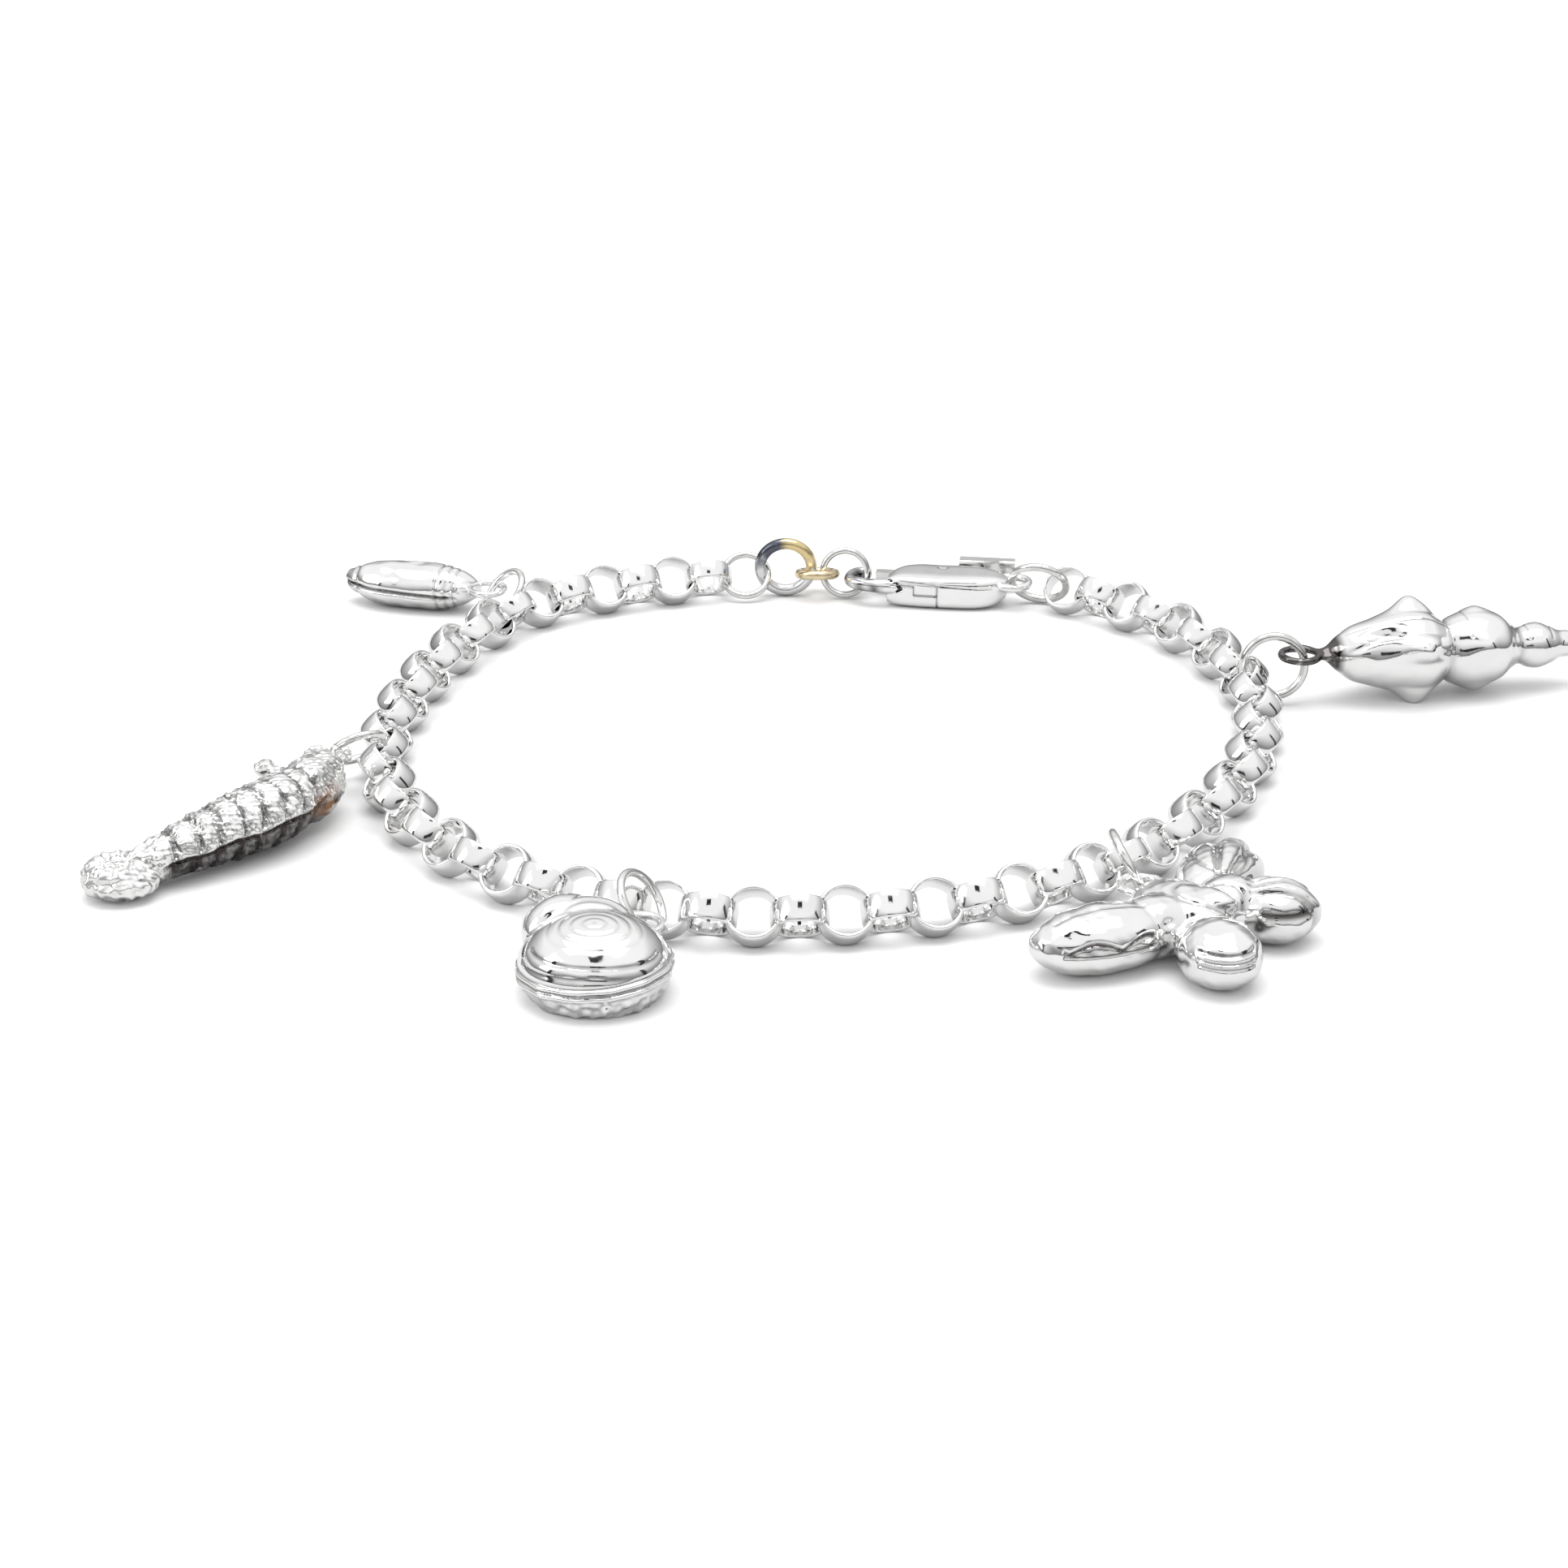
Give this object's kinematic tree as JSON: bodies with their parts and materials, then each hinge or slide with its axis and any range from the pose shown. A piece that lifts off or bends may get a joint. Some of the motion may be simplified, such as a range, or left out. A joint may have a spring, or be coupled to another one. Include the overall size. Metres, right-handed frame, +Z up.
{
  "type": "charm bracelet",
  "caption": "Polished belcher-chain charm bracelet closed with a lobster clasp and lying flat, with olive shell, seahorse, clam, butterfly and conch charms on jump rings.",
  "frame": {"origin": "middle of the bounding box's footprint, on the surface the bracelet lies on", "axes": "+Z up from the surface; +X across the loop towards the conch charm; +Y towards the clasp"},
  "size_m": [0.1028, 0.0734, 0.0072],
  "materials": {
    "silver": "polished",
    "tarnished_silver": "tarnished",
    "gilt_silver": "polished"
  },
  "bodies": {
    "bracelet": {"chain_1": "silver", "chain_2": "silver", "chain_3": "silver", "chain_4": "silver", "chain_5": "silver", "chain_6": "silver", "tail_link": "silver", "conch_link": "silver", "butterfly_link": "silver", "clam_link": "silver", "seahorse_link": "silver", "olive_link": "silver", "end_link": "silver", "olive_shell": "silver", "seahorse": "silver", "clam_shell": "silver", "butterfly": "silver", "conch_shell": "silver", "conch_ring": "silver", "butterfly_ring": "silver", "clam_ring": "silver", "seahorse_ring": "silver", "olive_ring": "silver", "plain_ring": "silver", "tarnished_ring": "tarnished_silver", "gilt_ring": "gilt_silver", "beak_ring": "silver", "clasp_body": "silver", "clasp_pin": "silver", "tail_ring": "silver"},
    "lever": {"clasp_lever": "silver"}
  },
  "joints": [
    {"name": "lever_hinge", "type": "hinge", "parent": "bracelet", "child": "lever", "pos_m": [0.00546, 0.03417, 0.0013], "axis": [0, 0, 1], "range_deg": [0, 18], "stiffness_Nm_per_rad": 0.02}
  ]
}
